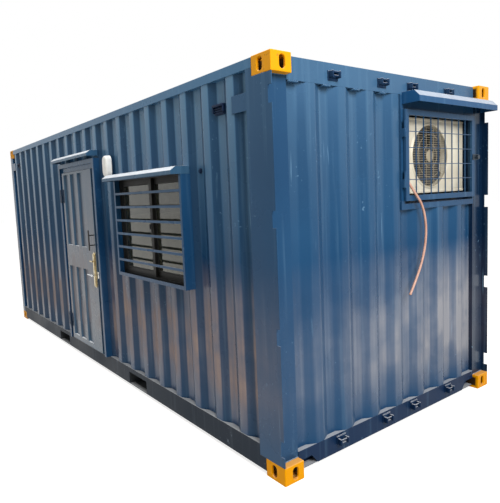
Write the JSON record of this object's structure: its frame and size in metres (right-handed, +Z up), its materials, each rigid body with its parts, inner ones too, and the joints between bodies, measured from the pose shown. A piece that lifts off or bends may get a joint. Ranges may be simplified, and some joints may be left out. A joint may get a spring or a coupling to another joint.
{
  "type": "prefabricated site office",
  "caption": "Site office made from a corrugated steel freight container, with a hinged door, a barred window, an air conditioner recess with a hinged guard, rain canopies and corner castings.",
  "frame": {"origin": "on the ground, midway between the twistlock slots of the four bottom corner castings", "axes": "+X along the length towards the air conditioner end, -Y is the side with the door and window, +Z up"},
  "size_m": [6.15, 2.591, 2.591],
  "materials": {
    "casting_paint": "chipped yellow gloss",
    "navy_paint": "navy blue gloss",
    "rail_paint": "dusty navy blue gloss",
    "base_coating": "matt dark underseal",
    "plywood": "oiled plywood",
    "vent_plastic": "painted over in navy",
    "lamp_plastic": "opal white",
    "hinge_steel": "worn dark paint",
    "lock_brass": "satin",
    "handle_black": "black gloss",
    "lever_chrome": "polished",
    "window_aluminium": "dark anodised",
    "tinted_glass": "clear, slightly tinted",
    "unit_enamel": "off-white enamel",
    "guard_wire": "grey enamel",
    "lock_steel": "brushed",
    "hose_rubber": "flesh-coloured soft plastic"
  },
  "bodies": {
    "shell": {"bottom_corner_castings": "casting_paint", "top_corner_castings": "casting_paint", "blind_end_posts": "navy_paint", "ac_end_post_left": "navy_paint", "ac_end_post_right": "navy_paint", "bottom_side_rail_front": "rail_paint", "bottom_side_rail_back": "rail_paint", "top_side_rails": "navy_paint", "blind_end_header": "navy_paint", "blind_end_sill": "rail_paint", "ac_end_header": "navy_paint", "ac_end_sill": "rail_paint", "cam_keepers": "navy_paint", "cross_members": "base_coating", "fork_pockets": "base_coating", "floor_boards": "plywood", "roof_panel": "navy_paint", "back_wall": "navy_paint", "blind_end_wall": "navy_paint", "front_wall_left": "navy_paint", "front_wall_over_door": "navy_paint", "front_wall_between": "navy_paint", "front_wall_over_window": "navy_paint", "front_wall_under_window": "navy_paint", "front_wall_right": "navy_paint", "ac_end_wall": "navy_paint", "ac_end_wall_lower": "navy_paint", "corner_gussets": "navy_paint", "wall_vents": "vent_plastic", "bulkhead_light": "lamp_plastic", "door_frame": "navy_paint", "door_hinge_lugs": "hinge_steel", "door_canopy": "navy_paint", "window_surround": "navy_paint", "window_bars": "navy_paint", "window_sashes": "window_aluminium", "window_glass": "tinted_glass", "window_canopy": "navy_paint", "ac_opening_frame": "navy_paint", "ac_recess": "navy_paint", "ac_unit_case": "unit_enamel", "ac_fan_guard": "guard_wire", "ac_canopy": "navy_paint", "gate_hinge_lugs": "navy_paint"},
    "door": {"door_leaf": "navy_paint", "door_hinge_straps": "hinge_steel", "door_lock_plate": "lock_brass", "door_pull_handle": "handle_black"},
    "lever": {"door_lever": "lever_chrome"},
    "gate": {"ac_guard_gate": "navy_paint", "gate_lock": "lock_steel", "drain_hose": "hose_rubber"}
  },
  "joints": [
    {"name": "door_hinge", "type": "hinge", "parent": "shell", "child": "door", "pos_m": [-0.5745, -1.272, 1.15], "axis": [0, 0, -1], "range_deg": [0, 110]},
    {"name": "lever_turn", "type": "hinge", "parent": "door", "child": "lever", "pos_m": [0.2865, -1.282, 1.028], "axis": [0, -1, 0], "range_deg": [0, 40], "stiffness_Nm_per_rad": 1.2, "springref_deg": -34.38},
    {"name": "gate_hinge", "type": "hinge", "parent": "shell", "child": "gate", "pos_m": [3.008, 0.06, 2], "axis": [0, 0, -1], "range_deg": [0, 100]}
  ]
}
